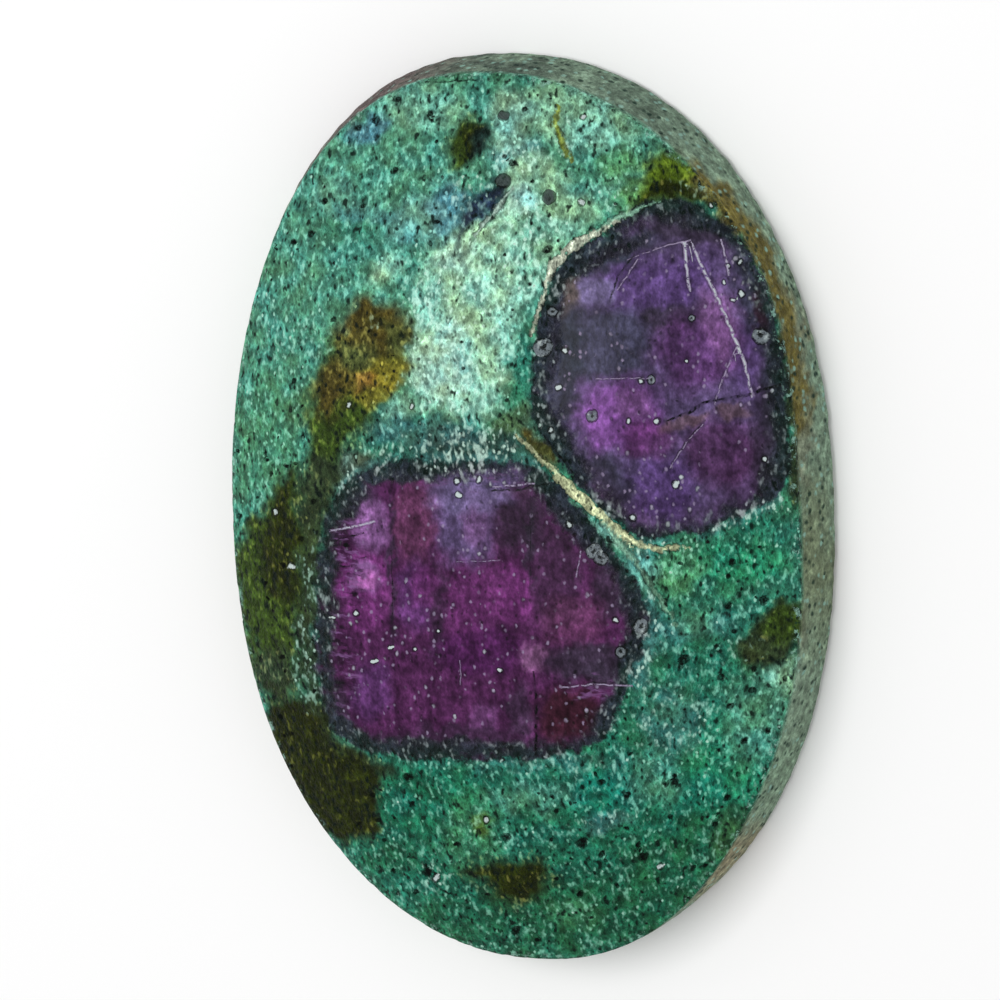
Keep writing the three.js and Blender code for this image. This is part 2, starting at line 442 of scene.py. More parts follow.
# Stains: colour, width of the soft edge, outline.
STAINS = [
    ("fern", 8, [(456, 118), (470, 112), (480, 122), (480, 142), (472, 170), (456, 172), (448, 158),
        (446, 134)]),
    ("dark olive", 7, [(458, 130), (470, 120), (482, 126), (480, 150), (468, 164), (458, 150)]),
    ("rim green", 6, [(474, 126), (486, 128), (494, 144), (486, 156), (474, 160), (470, 144)]),
    ("navy", 7, [(514, 180), (500, 174), (480, 190), (464, 198), (464, 226), (454, 250), (466, 240),
        (478, 220), (494, 201)]),
    ("brown", 5, [(516, 426), (528, 420), (544, 438), (562, 468), (552, 470), (534, 452)]),
    ("drab", 4, [(524, 430), (536, 434), (554, 460), (548, 462), (532, 448)]),
    ("fern", 12, [(352, 325), (410, 350), (408, 372), (384, 398), (364, 430), (338, 456), (322, 500),
        (304, 500), (308, 440), (308, 400), (328, 350)]),
    ("brown", 10, [(334, 350), (342, 314), (366, 292), (394, 300), (411, 328), (413, 356), (380, 366),
        (350, 396), (326, 424), (310, 410), (322, 372)]),
    ("drab", 6, [(386, 316), (402, 324), (412, 356), (392, 356), (380, 338)]),
    ("ochre", 7, [(372, 356), (411, 360), (410, 374), (390, 392), (366, 410), (352, 398), (356, 378)]),
    ("rust", 4, [(350, 380), (376, 374), (380, 386), (356, 394)]),
    ("drab", 7, [(342, 340), (376, 346), (378, 366), (350, 378), (334, 362)]),
    ("fern", 10, [(300, 450), (306, 560), (300, 700), (262, 690), (236, 600), (230, 550), (252, 518),
        (284, 490)]),
    ("loden", 7, [(304, 448), (340, 462), (330, 500), (324, 560), (318, 640), (322, 700), (336, 738),
        (386, 764), (392, 776), (350, 778), (312, 752), (299, 700), (298, 560)]),
    ("loden", 4, [(774, 290), (806, 296), (814, 400), (808, 502), (786, 508), (788, 400)]),
    ("dark olive", 11, [(284, 476), (297, 474), (298, 600), (284, 612), (262, 586), (258, 545),
        (268, 512)]),
    ("loden", 10, [(248, 650), (296, 650), (300, 700), (260, 700)]),
    ("dark olive", 8, [(258, 700), (300, 694), (320, 722), (346, 750), (372, 764), (380, 792),
        (388, 828), (360, 842), (330, 842), (292, 800), (264, 748)]),
    ("dark olive", 13, [(456, 864), (496, 858), (548, 862), (556, 880), (540, 900), (506, 906),
        (490, 896), (484, 884), (462, 878)]),
    ("loden", 8, [(734, 640), (756, 618), (780, 606), (803, 600), (803, 646), (784, 662), (758, 670),
        (740, 660)]),
    ("fern", 8, [(762, 624), (782, 608), (803, 602), (803, 632), (784, 642), (768, 636)]),
    ("moss", 10, [(612, 222), (638, 190), (648, 158), (660, 150), (684, 158), (706, 178), (708, 200),
        (680, 204), (640, 208)]),
    ("dark olive", 8, [(634, 206), (648, 186), (690, 176), (716, 192), (744, 226), (726, 224),
        (700, 208), (676, 200)]),
    ("bronze", 6, [(682, 164), (706, 174), (732, 198), (758, 230), (778, 264), (792, 310), (802, 360),
        (792, 364), (778, 314), (764, 274), (744, 244), (720, 218), (694, 194)]),
]

# Partly paler mica, partly painted highlight: the broad sheen down the upper middle of the face.
# Pale areas: as the stains, but they lie under them and keep the rock's flecks.
PALE_AND_HIGHLIGHT_AREAS = [
    ("pale green", 12, [(514, 150), (552, 164), (576, 204), (560, 250), (544, 284), (512, 322),
        (500, 416), (452, 418), (416, 402), (410, 350), (417, 300), (426, 262), (440, 240), (480, 216),
        (504, 186)]),
    ("lime", 16, [(512, 176), (560, 170), (582, 210), (552, 292), (524, 296), (516, 226)]),
    ("mist", 14, [(436, 320), (470, 316), (474, 394), (444, 400), (424, 370)]),
    ("mist", 10, [(412, 352), (440, 352), (444, 400), (418, 402)]),
    ("mist", 9, [(438, 244), (464, 238), (476, 262), (442, 274)]),
    ("mist", 9, [(506, 186), (534, 180), (536, 208), (504, 214)]),
    ("pale green", 10, [(374, 262), (392, 258), (400, 274), (384, 284), (372, 276)]),
]

# The side wall: soft patches, and the brown band under the crease at the upper right.
WALL_PATCHES = [
    (370, 100, 140, 60, -36, "purple grey", 1), (500, 66, 80, 16, 0, "slate green", 0.9),
    (640, 110, 80, 40, 35, "slate green", 0.5), (245, 430, 40, 90, 0, "sage", 0.5),
    (255, 650, 60, 200, 0, "olive", 0.7), (816, 560, 30, 90, 0, "wall olive", 0.8),
    (728, 868, 60, 26, -40, "khaki", 0.7),
]
WALL_BAND = (
    "bronze", 7,
    [(684, 160), (710, 172), (740, 202), (768, 242), (790, 294), (806, 345), (811, 400), (808, 432),
        (792, 436), (786, 380), (770, 310), (740, 240), (704, 196)],
)

# Where pale flecks crowd, and where the lower ruby is stepped: as the rim patches.
# The patches over the upper middle of the face crowd the painted glints where the sheen falls.
FLECK_PATCHES = [
    (478, 454, 60, 28, 0, 1.15), (400, 448, 40, 14, -10, 0.5), (455, 340, 60, 100, 0, 0.9),
    (510, 240, 60, 70, 0, 0.7), (520, 158, 30, 20, 0, 0.7), (670, 725, 50, 40, 0, 0.5),
    (605, 822, 40, 14, 0, 0.5), (311, 620, 14, 120, 0, 1.3), (540, 764, 110, 10, 0, 0.3),
    (280, 672, 30, 22, 0, 0.8), (436, 876, 20, 20, 0, 0.5), (646, 640, 14, 60, 10, 0.8),
    (690, 190, 40, 12, 20, 0.9), (290, 330, 40, 60, 0, 0.3), (374, 350, 44, 66, 30, 0.6),
    (376, 322, 20, 18, 0, 0.9), (388, 377, 20, 14, 0, 1), (750, 646, 22, 18, -20, 1),
    (516, 882, 40, 24, 0, 0.5), (744, 518, 56, 8, -22, 1), (650, 546, 44, 9, 0, 1),
    (285, 520, 24, 60, 0, 0.5), (476, 206, 24, 34, 0, 1), (560, 136, 8, 26, -15, 0.9),
    (475, 470, 54, 16, 0, 1.6), (370, 472, 36, 14, -30, 1), (560, 288, 12, 20, 0, 1.4),
    (620, 200, 30, 16, -30, 0.4), (736, 282, 22, 36, -15, 1), (690, 262, 12, 24, 0, 0.7),
    (668, 490, 40, 44, 0, 0.8), (756, 398, 26, 9, -10, 1.2), (622, 510, 34, 12, 35, 1),
    (552, 380, 24, 70, 0, 0.5), (350, 620, 24, 110, 0, 0.5), (600, 716, 30, 24, 0, 0.4),
    (440, 640, 90, 90, 0, 0.3),
]
STEP_PATCHES = [
    (348, 550, 22, 66, 0, 1), (340, 660, 22, 70, 0, 0.8), (470, 480, 60, 12, 0, 0.6),
    (600, 690, 34, 8, 0, 0.8),
]

# Veins: colour, then points with half widths.
VEINS = [
    ("cream", [(518, 436, 0.4), (533, 453, 1), (549, 467, 1.6), (562, 480, 3.5), (580, 498, 5.5),
        (600, 515, 4.5), (620, 532, 3), (640, 545, 2.5), (664, 550, 2), (684, 548, 0.8)]),
    ("pale green", [(600, 518, 1.5), (618, 541, 2), (634, 561, 1.6), (644, 574, 1.2)]),
    ("lime", [(644, 574, 1.2), (654, 592, 1.8), (664, 606, 2), (674, 622, 1)]),
    ("frost", [(478, 232, 0.4), (486, 222, 0.8), (498, 206, 0.8), (510, 190, 0.4)]),
    ("bone", [(618, 221, 1), (599, 231, 3), (582, 240, 4), (565, 251, 4.5), (554, 265, 4),
        (547, 281, 2.5), (543, 300, 1.5)]),
    ("pale green", [(656, 203, 0.5), (634, 210, 2), (612, 221, 2), (592, 233, 1)]),
    ("bone", [(541, 300, 1.2), (536, 316, 1.4), (532, 334, 0.8)]),
    ("sprout", [(558, 110, 2.4), (554, 124, 2.8), (560, 138, 2.4)]),
    ("sprout", [(560, 138, 2.4), (564, 148, 2.6), (570, 158, 1.6)]),
]

# Fine scratches in the rubies, and cracks, which lie in the rock too: points with half widths.
SCRATCHES = [
    [(694, 248, 1.4), (702, 268, 1.6), (722, 308, 1.7), (738, 346, 1.8), (744, 362, 1.6),
        (751, 392, 1.2)],
    [(684, 242, 1.6), (686, 262, 1.8), (689, 287, 1.2)],
    [(722, 244, 1), (728, 270, 1.2)],
    [(632, 258, 0.4), (664, 246, 0.6), (686, 241, 0.8)],
    [(636, 262, 0.6), (620, 286, 0.6)],
    [(735, 350, 0.7), (722, 380, 0.8), (716, 400, 0.6)],
    [(600, 379, 0.5), (646, 378, 0.5)],
    [(700, 428, 0.6), (684, 446, 0.7), (672, 464, 0.5)],
    [(498, 487, 0.9), (530, 484, 0.9)],
    [(566, 687, 0.8), (600, 684, 0.9), (628, 686, 0.8)],
    [(462, 562, 0.3), (496, 560, 0.6)],
    [(577, 572, 0.6), (580, 556, 0.8)],
    [(334, 530, 1), (352, 527, 1.5), (372, 522, 1.2)],
    [(460, 664, 0.4), (461, 680, 0.4)],
]
CRACKS = [
    [(668, 420, 1), (690, 412, 1.6), (704, 403, 1.6), (722, 399, 1.2), (750, 394, 1.5),
        (776, 386, 1.5)],
    [(534, 676, 1), (536, 700, 1.6), (536, 752, 1.6)],
    [(531, 500, 0.2), (530, 585, 0.3)],
    [(392, 555, 0.3), (393, 640, 0.3)],
    [(494, 491, 0.9), (520, 489, 1.1), (546, 484, 0.7)],
    [(632, 258, 0.9), (618, 276, 1), (611, 298, 0.9)],
    [(702, 424, 0.4), (686, 442, 0.5), (674, 460, 0.4)],
    [(336, 540, 0.8), (360, 534, 0.8)],
    [(546, 438, 0.8), (560, 456, 1.4), (576, 478, 1)],
    [(424, 866, 1.5), (436, 886, 1.8), (446, 892, 1.2)],
    [(430, 82, 0.8), (480, 80, 1)],
]

# Round marks: middle, half width, half height, turn clockwise in degrees.
RINGS = [
    (543, 347, 13, 8, -40), (594, 551, 8, 6, -30), (601, 558, 7, 6, 20), (641, 626, 9, 6, -60),
    (621, 652, 5, 5, 0), (592, 416, 6, 5, -30), (504, 116, 6, 4, 0), (503, 181, 7, 6, 0),
    (549, 197, 6, 9, 10), (692, 318, 3, 3, 0), (651, 380, 3.5, 4, 0), (552, 312, 5, 4, 0),
    (761, 336, 9, 7, 20),
]
GRAINS = [
    (457, 481, 3.2, 2.4, -10), (479, 480, 2.4, 3.2, 20), (459, 495, 3.6, 2.4, 15),
    (357, 613, 2.4, 2.4, 0), (391, 647, 5, 1.6, -5), (375, 661, 5.5, 2, -12), (415, 649, 2.4, 1.6, 0),
    (438, 631, 1.6, 1.6, 0), (500, 670, 2, 2, 0), (616, 620, 3.2, 2.4, 0), (569, 525, 2.4, 4, -20),
    (333, 617, 5, 1.4, -5), (565, 350, 2.4, 3, 0), (559, 387, 4, 2.4, -10), (641, 381, 2, 2.4, 0),
    (657, 421, 3.4, 2.8, -20), (629, 421, 2, 2.8, 0), (686, 361, 1.6, 1.6, 0), (676, 485, 3, 6, 35),
    (741, 294, 3, 4, 0), (551, 430, 2, 3, 0), (633, 518, 3, 2.4, 0), (486, 820, 2.4, 3.2, 0),
    (436, 878, 3, 6.4, 30), (711, 205, 2, 2.4, 0), (291, 566, 4, 3, 0), (276, 512, 2.4, 3.2, 0),
    (765, 459, 2.4, 2.4, 0), (349, 405, 2.4, 3.4, 30), (412, 406, 2, 3, 30), (661, 866, 5, 2, -25),
    (582, 202, 3.4, 2.6, 20), (583, 117, 4, 2, -20), (740, 262, 2, 2.4, 0), (724, 282, 1.6, 2.4, 0),
    (733, 300, 2.4, 1.8, 20), (728, 266, 1.8, 1.6, 0),
]

# Black specks: middle and half width.
SPECKS = [
    (325, 201, 4), (311, 234, 4), (397, 99, 4), (376, 120, 4), (362, 206, 3), (395, 170, 4),
    (684, 659, 6), (602, 782, 4), (675, 782, 4), (727, 798, 4), (721, 677, 4), (744, 741, 4),
    (506, 837, 5), (582, 843, 6), (644, 857, 5), (602, 854, 4), (580, 894, 4), (627, 795, 4),
    (556, 811, 3), (670, 817, 3), (715, 824, 3), (408, 777, 5), (412, 804, 3), (516, 930, 5),
    (764, 600, 5), (729, 606, 4), (428, 872, 5), (548, 250, 5), (730, 706, 4), (732, 562, 4),
    (752, 690, 4), (512, 163, 4), (358, 128, 4), (416, 892, 3),
]

# ---------------------------------------------------------------- reading the markings at each vertex

FAR = 60.0  # pixels, past which a distance no longer matters
BRIGHTENED = 1.12  # how much brighter than its own colour the light shows a surface
PATCH_SOFT = (1.3, 0.5)  # where a patch starts and is full, 1 being its outline
WALL_PATCH_SOFT = (1.4, 0.2)
RUBY_PATCH_SOFT = (1.35, 0.65)
RUBY_SQUARENESS = 2.5
# How far the wall is greyed: partly its duller ground finish, partly a painted sheen.
WALL_GREY_AND_SHEEN = 0.65
MARK_EDGE = (2.0, 3.0)  # pixels from a mark, between which it ends
LINE_EDGE = (3.0, 5.0)

# How places wander before the markings are read there: reach in pixels, size of a lump, seed.
ROCK_WANDER = [(5.0, 0.9, 1), (3.0, 0.3, 3)]
WALL_WANDER = [*ROCK_WANDER, (12.0, 1.5, 17)]
RUBY_WANDER = [(4.0, 0.6, 5), (2.0, 0.2, 11)]
EDGE_WANDER = [(2.5, 0.5, 7)]
FINE_WANDER = [(0.7, 0.25, 9)]
VEIN_WANDER = [(1.5, 0.5, 13)]
SEED_STEP = np.array((7.3, 3.1, 5.7))

# The seeded black specks: where they may lie, in pixels, and their sizes and proportions.
SPECK_SEED = 11
SPECK_COUNT = 260
SPECKS_ACROSS = (230, 835)
SPECKS_DOWN = (60, 960)
SPECK_SIZES = (1.4, 3.2)
SPECK_SLIMNESS = (0.5, 1.0)
CHOSEN_SLIMNESS = 0.8
CHOSEN_TURN = -30.0
LEAST_WANTED = 0.25
SPECKS_BELOW = (550, 400)  # specks crowd from this height down, and over how many pixels
SPECKS_LEFT = (330, 100)


def linear(colour):
    """A colour of 0 to 255, as the eye sees it, in the linear values that light works in."""
    share = np.array(colour) / 255.0
    shown = np.where(share <= 0.04045, share / 12.92, ((share + 0.055) / 1.055) ** 2.4)
    return shown / BRIGHTENED


def fade(value, start, end):
    """0 where value is at start and 1 where it is at end, smoothly between."""
    share = np.clip((value - start) / (end - start), 0.0, 1.0)
    return share * share * (3.0 - 2.0 * share)


def lumps(points, size, seed):
    """Smooth noise from about -1 to 1 at points (n, 3), with lumps of one size."""
    places = points / size + SEED_STEP * seed
    return np.array([noise.noise(Vector(place)) for place in places.tolist()])


def wandered(points, wander):
    """Where points (n, 3) show in the photograph, in pixels moved about by noise."""
    place = photo_pixels(points)
    for reach, size, seed in wander:
        drift = np.stack([lumps(points, size, seed), lumps(points, size, seed + 1)], axis=1)
        place = place + drift * reach * 2.0
    return place


def turned(place, x, y, turn):
    """Places seen from a mark's middle, turned so that its own width lies along the first axis."""
    cosine, sine = math.cos(math.radians(turn)), math.sin(math.radians(turn))
    from_x, from_y = place[:, 0] - x, place[:, 1] - y
    return from_x * cosine + from_y * sine, from_y * cosine - from_x * sine


def rounded(outline):
    """A closed outline with its corners cut twice, which makes it a smooth curve."""
    corners = np.array(outline, dtype=float)
    for _ in range(2):
        ahead = np.roll(corners, -1, axis=0)
        corners = np.stack([0.75 * corners + 0.25 * ahead, 0.25 * corners + 0.75 * ahead], axis=1)
        corners = corners.reshape(-1, 2)
    return corners


def edge_distance(place, start, end):
    """Distance in pixels from places to the line between two points, and the share along it."""
    along = end - start
    share = np.clip(((place - start) @ along) / (along @ along), 0.0, 1.0)
    return np.linalg.norm(place - start - share[:, None] * along, axis=1), share


def segment_gap(place, start, end):
    """Distance from places to a line between two points with half widths, and its half width."""
    distance, share = edge_distance(place, np.array(start[:2]), np.array(end[:2]))
    return distance, start[2] + (end[2] - start[2]) * share


def depth_inside(place, outline):
    """Pixels from places to a closed outline, positive inside it and negative outside."""
    corners = rounded(outline)
    nearest = np.full(len(place), FAR)
    inside = np.zeros(len(place), dtype=bool)
    x, y = place[:, 0], place[:, 1]
    for start, end in zip(corners, np.roll(corners, -1, axis=0)):
        nearest = np.minimum(nearest, edge_distance(place, start, end)[0])
        if start[1] != end[1]:
            crossing = start[0] + (y - start[1]) * (end[0] - start[0]) / (end[1] - start[1])
            inside ^= ((start[1] > y) != (end[1] > y)) & (x < crossing)
    return np.where(inside, nearest, -nearest)


def from_lines(place, routes):
    """Each place as seen from the nearest line: pixels to its left, pixels away, and half width.

    The first changes evenly across a line, so that a line far narrower than a face stays sharp.
    """
    seen = np.tile((FAR, FAR, 1.0), (len(place), 1))
    for route in routes:
        for start, end in zip(route, route[1:]):
            distance, half = segment_gap(place, start, end)
            along = np.array((end[0] - start[0], end[1] - start[1]))
            along = along / np.linalg.norm(along)
            left = (place[:, 0] - start[0]) * along[1] - (place[:, 1] - start[1]) * along[0]
            nearer = distance < seen[:, 1]
            seen[nearer] = np.column_stack([left, distance, half])[nearer]
    return seen


def from_marks(place, marks):
    """Each place as seen from the nearest round mark: two in its half widths, and pixels away."""
    seen = np.tile((FAR, FAR, FAR), (len(place), 1))
    for x, y, half_across, half_down, turn in marks:
        across, down = turned(place, x, y, turn)
        gap = np.hypot(across, down) - min(half_across, half_down)
        nearer = gap < seen[:, 2]
        seen[nearer] = np.column_stack([across / half_across, down / half_down, gap])[nearer]
    return seen


def mark_reach(seen):
    """0 in the middle of the nearest round mark, 1 on its outline, and much more away from it."""
    return np.hypot(seen[:, 0], seen[:, 1]) + fade(seen[:, 2], *MARK_EDGE) * FAR


def line_share(seen):
    """1 in the middle of the nearest line and 0 outside it."""
    gap = np.abs(seen[:, 0]) + fade(seen[:, 1], *LINE_EDGE) * FAR - seen[:, 2]
    return fade(gap, LINE_SOFTNESS, -LINE_SOFTNESS)


def painted(colour, share, name):
    """Colours (n, 3) with a named one laid over them by share."""
    return colour + (linear(COLOURS[name]) - colour) * share[:, None]


def patch_share(place, patch, soft=PATCH_SOFT, squareness=2.0):
    """How strongly a soft patch covers each place, from 0 to its strength."""
    x, y, half_across, half_down, turn = patch[:5]
    across, down = turned(place, x, y, turn)
    across, down = np.abs(across) / half_across, np.abs(down) / half_down
    reach = (across**squareness + down**squareness) ** (1.0 / squareness)
    return fade(reach, *soft) * patch[-1]


def patch_cover(place, patches):
    """The strongest of some soft patches at each place."""
    return np.max([patch_share(place, patch) for patch in patches], axis=0)


def patched(colour, place, patches, *shape):
    """Colours (n, 3) with soft patches laid over them, one after the other."""
    for patch in patches:
        colour = painted(colour, patch_share(place, patch, *shape), patch[5])
    return colour


def area_share(place, area):
    """How strongly an outlined area, such as a stain, covers each place, from 0 to 1."""
    _, softness, outline = area
    return fade(depth_inside(place, outline), -softness, softness)


def rock_colours(points, place, side):
    """The rock's colour at each point, on the face and on the wall, and how stained it is."""
    rock = np.tile(linear(COLOURS["green"]), (len(points), 1))
    rock = patched(rock, place, ROCK_PATCHES)
    # Paler mica and painted highlight, the sheen down the upper middle of the face.
    for area in PALE_AND_HIGHLIGHT_AREAS:
        rock = painted(rock, area_share(place, area), area[0])
    stained = np.zeros(len(points))
    for stain in STAINS:
        share = area_share(place, stain)
        rock = painted(rock, share, stain[0])
        stained = np.maximum(stained, share)
    # The wall greyed: partly its own duller ground finish, partly a painted sheen of reflected light.
    wall = painted(rock, np.full(len(points), WALL_GREY_AND_SHEEN), "stone grey and sheen")
    wall = patched(wall, wandered(points, WALL_WANDER), WALL_PATCHES, WALL_PATCH_SOFT)
    wall = painted(wall, area_share(place, WALL_BAND), WALL_BAND[0])
    return rock + (wall - rock) * side[:, None], stained


def ruby_colours(points):
    """The rubies' colour at each point. Its patches have square corners, as the crystals do."""
    ruby = np.tile(linear(COLOURS["plum"]), (len(points), 1))
    place = wandered(points, RUBY_WANDER)
    return patched(ruby, place, RUBY_PATCHES, RUBY_PATCH_SOFT, RUBY_SQUARENESS)


def vein_colours(place):
    """The colour of the vein nearest to each place."""
    tint = np.tile(linear(COLOURS["cream"]), (len(place), 1))
    nearest = np.full(len(place), FAR)
    for name, route in VEINS:
        for start, end in zip(route, route[1:]):
            distance, half = segment_gap(place, start, end)
            tint[distance - half < nearest] = linear(COLOURS[name])
            nearest = np.minimum(nearest, distance - half)
    return tint


def speck_marks():
    """The black specks: those listed, and a seeded scatter, denser at the foot and left."""
    rng = np.random.default_rng(SPECK_SEED)
    marks = [(x, y, size, size * CHOSEN_SLIMNESS, CHOSEN_TURN) for x, y, size in SPECKS]
    while len(marks) < SPECK_COUNT:
        x, y = rng.uniform(*SPECKS_ACROSS), rng.uniform(*SPECKS_DOWN)
        size = rng.uniform(*SPECK_SIZES)
        slim = rng.uniform(*SPECK_SLIMNESS)
        turn = rng.uniform(-90, 90)
        low = (y - SPECKS_BELOW[0]) / SPECKS_BELOW[1]
        left = (SPECKS_LEFT[0] - x) / SPECKS_LEFT[1]
        wanted = LEAST_WANTED + (1 - LEAST_WANTED) * max(low, left, 0.0)
        if rng.uniform() < wanted:
            marks.append((x, y, size, size * slim, turn))
    return marks


def read_markings(points, side, edge_gap):
    """Every marking's value at each point, by the name of the mesh attribute that holds it."""
    place = wandered(points, ROCK_WANDER)
    rock, stained = rock_colours(points, place, side)
    edge_place = wandered(points, EDGE_WANDER)
    depth = np.maximum(depth_inside(edge_place, UPPER_RUBY), depth_inside(edge_place, LOWER_RUBY))
    fine = wandered(points, FINE_WANDER)
    veined = wandered(points, VEIN_WANDER)
    off_face = (side > 0.5)[:, None]
    no_line = off_face * np.array((FAR, FAR, 0.0))
    no_mark = off_face * FAR
    in_ruby = (depth > 0)[:, None] * FAR
    return {
        "rock": rock,
        "ruby": ruby_colours(points),
        "ruby_depth": depth / PX_PER_MM,
        "shell": patch_cover(place, RIM_PATCHES),
        "vein": from_lines(veined, [route for _, route in VEINS]) + no_line,
        "vein_tint": vein_colours(veined),
        "scratch": from_lines(fine, SCRATCHES) + no_line,
        "crack": from_lines(fine, CRACKS) + no_line,
        "ring": from_marks(fine, RINGS) + no_mark,
        "grain": from_marks(fine, GRAINS) + no_mark,
        "speck": from_marks(fine, speck_marks()) + no_mark + in_ruby,
        "side": side,
        "edge_gap": edge_gap,
        "crowd": patch_cover(place, FLECK_PATCHES) - stained,
        "steps": patch_cover(place, STEP_PATCHES),
    }


def relief(points, side, marks):
    """How far each point stands out of the smooth stone, in millimetres."""
    face = 1.0 - side
    depth = marks["ruby_depth"]
    rise = POLISH_WAVER * lumps(points, *POLISH_LUMPS) * face
    rise += GRIND_WAVER * lumps(points * GRIND_SQUEEZE, *GRIND_LUMPS) * side
    rise += RUBY_PROUD * fade(depth, -0.1, 0.5) * face
    ragged = 0.5 + lumps(points, *GROOVE_LUMPS)
    rise -= EDGE_GROOVE * np.exp(-(((depth - GROOVE_PLACE) / GROOVE_WIDTH) ** 2)) * ragged * face
    chipped = fade(lumps(points, *CHIP_LUMPS), 0.15, 0.5)
    chipped *= np.exp(-((marks["edge_gap"] / CHIP_REACH) ** 2))
    rise -= CHIP_PIT * chipped
    rise += GRAIN_WAVER * lumps(points, *GRAIN_LUMPS) * fade(depth, 0.1, -0.1)
    for name, (height, start, end) in ROUND_RELIEF.items():
        rise += height * fade(mark_reach(marks[name]), start, end)
    for name, height in LINE_RELIEF.items():
        rise += height * line_share(marks[name])
    return rise


# ---------------------------------------------------------------- the stone's material

# Noise: each axis's share, below 1 for marks that are longer along it, then how many lumps in a
# millimetre, detail and roughness.
EVEN = (1, 1, 1)
CLOUDS = {
    "grit": ((1, 0.7, 1), 4.6, 2, 0.7),
    "scales": ((1, 0.62, 1), 4.8, 1.5, 0.5),
    "broad": (EVEN, 1.9, 2, 0.5),
    "patchy": (EVEN, 0.9, 3, 0.5),
    "ragged": (EVEN, 3, 4, 0.75),
    "fine": (EVEN, 7, 2, 0.6),
    "columns": ((1, 0.12, 0.3), 1.5, 3, 0.6),
    "bars": ((0.15, 1, 0.3), 1.3, 3, 0.6),
    "dashes": ((0.35, 1.5, 1), 3, 2, 0.6),
    "ground": (EVEN, 3.6, 3, 0.7),
}
NOISE_TILT = (0.6, 0.45, 0.8)  # radians
BEND = (5.0, 0.14)  # how places wander: lumps in a millimetre, and reach

# Scattered grains: how many in a millimetre, and the reach of each as a share of its cell.
FINE_GRAINS = (5.2, 0.42)
COARSE_GRAINS = (3.7, 0.34)
ROCK_SPECKS = (1.9, 0.2)
GROUND_SPECKS = (4.4, 0.42)
GRAIN_STRETCH = (1, 0.75, 1)
COARSE_STRETCH = (1, 1.1, 1)
GROUND_STRETCH = (0.8, 0.8, 0.6)
LOT_EDGE = 0.15  # the share of lots over which marks fade in

CONTRAST_BASE = 2.6  # a contrast of 1 makes a colour this much brighter
GROUND_CONTRAST_BASE = 2.4
GLINT_BRIGHTNESS = 3.8
GAP_BRIGHTNESS = 0.08
WARM = (1.16, 1.0, 0.8, 1.0)
COOL = (0.78, 1.0, 1.14, 1.0)
OUTSIDE = 9.0  # more than any mark's own measure, past its end
LINE_END = (5.0, 6.0)  # pixels from a line, between which it ends

ROUGHNESS = 0.42
RIM_ROUGHNESS = -0.12
SPECK_ROUGHNESS = 0.4
GROUND_ROUGHNESS = 0.25
IOR = 1.55
SPECULAR = 0.06
BUMP_DISTANCE = 0.06


class Signal:
    """A node's output. Sums and products of signals make the math nodes that they need."""

    def __init__(self, tree, socket):
        self.tree = tree
        self.socket = socket

    def math(self, operation, *values):
        return node(self.tree, "Math", dict(enumerate(values)), operation=operation)

    def __add__(self, other):
        return self.math("ADD", self, other)

    def __sub__(self, other):
        return self.math("SUBTRACT", self, other)

    def __rsub__(self, other):
        return self.math("SUBTRACT", other, self)

    def __mul__(self, other):
        return self.math("MULTIPLY", self, other)

    __radd__ = __add__

    def power_of(self, base):
        return self.math("POWER", base, self)

    def fade(self, start, end):
        """0 where this signal is at start and 1 where it is at end, smoothly between."""
        ends = {"Value": self, "From Min": start, "From Max": end}
        return node(self.tree, "MapRange", ends, interpolation_type="SMOOTHSTEP")

    def vector_math(self, operation, value, name=1):
        return node(self.tree, "VectorMath", {0: self, name: value}, operation=operation)

    def times(self, other):
        """This place or colour multiplied, part by part, by another."""
        return self.vector_math("MULTIPLY", other)

    def brighter(self, factor):
        """This colour multiplied by a factor."""
        return self.vector_math("SCALE", factor, "Scale")

    def tilted(self):
        """This place turned about all three axes, so that no face lies along the noise's own grid."""
        turn = {"Vector": self, "Rotation": NOISE_TILT}
        return node(self.tree, "VectorRotate", turn, rotation_type="EULER_XYZ")

    def wandering(self, per_mm, reach):
        """This place moved about by noise, so that regular marks turn ragged."""
        drift = node(self.tree, "TexNoise", {"Vector": self.tilted(), "Scale": per_mm}, "Color")
        drift = drift.vector_math("SUBTRACT", (0.5, 0.5, 0.5))
        return self.vector_math("ADD", drift.brighter(reach))

    def parts(self):
        """The three numbers of a vector."""
        first = node(self.tree, "SeparateXYZ", {0: self})
        return [Signal(self.tree, output) for output in first.socket.node.outputs]

    def under(self, *layers):
        """This colour with others laid over it in turn, each by its share."""
        colour = self
        for above, share in layers:
            colour = mixed(self.tree, colour, above, share)
        return colour


def plug(tree, socket, value):
    """Gives a socket a signal, a number or numbers, or a colour by its name."""
    if isinstance(value, Signal):
        tree.links.new(value.socket, socket)
    elif isinstance(value, str):
        socket.default_value = (*linear(COLOURS[value]), 1.0)
    else:
        socket.default_value = value


def node(tree, kind, inputs, output=0, **settings):
    """The output of a new node with these settings, and with its inputs plugged."""
    made = tree.nodes.new("ShaderNode" + kind)
    for name, value in settings.items():
        setattr(made, name, value)
    for name, value in inputs.items():
        plug(tree, made.inputs[name], value)
    return Signal(tree, made.outputs[output])


def mixed(tree, below, above, share):
    """Two colours mixed, each a signal, a colour's name or four numbers."""
    return node(tree, "Mix", {0: share, 6: below, 7: above}, 2, data_type="RGBA")


def attribute(tree, name, output="Fac"):
    return node(tree, "Attribute", {}, output, attribute_name=name)


def cloud(place, name):
    """Noise from -1 to 1, as CLOUDS describes it."""
    stretch, per_mm, detail, roughness = CLOUDS[name]
    place = place.times(stretch).tilted()
    inputs = {"Vector": place, "Scale": per_mm, "Detail": detail, "Roughness": roughness}
    return node(place.tree, "TexNoise", inputs, "Fac") * 2.0 - 1.0


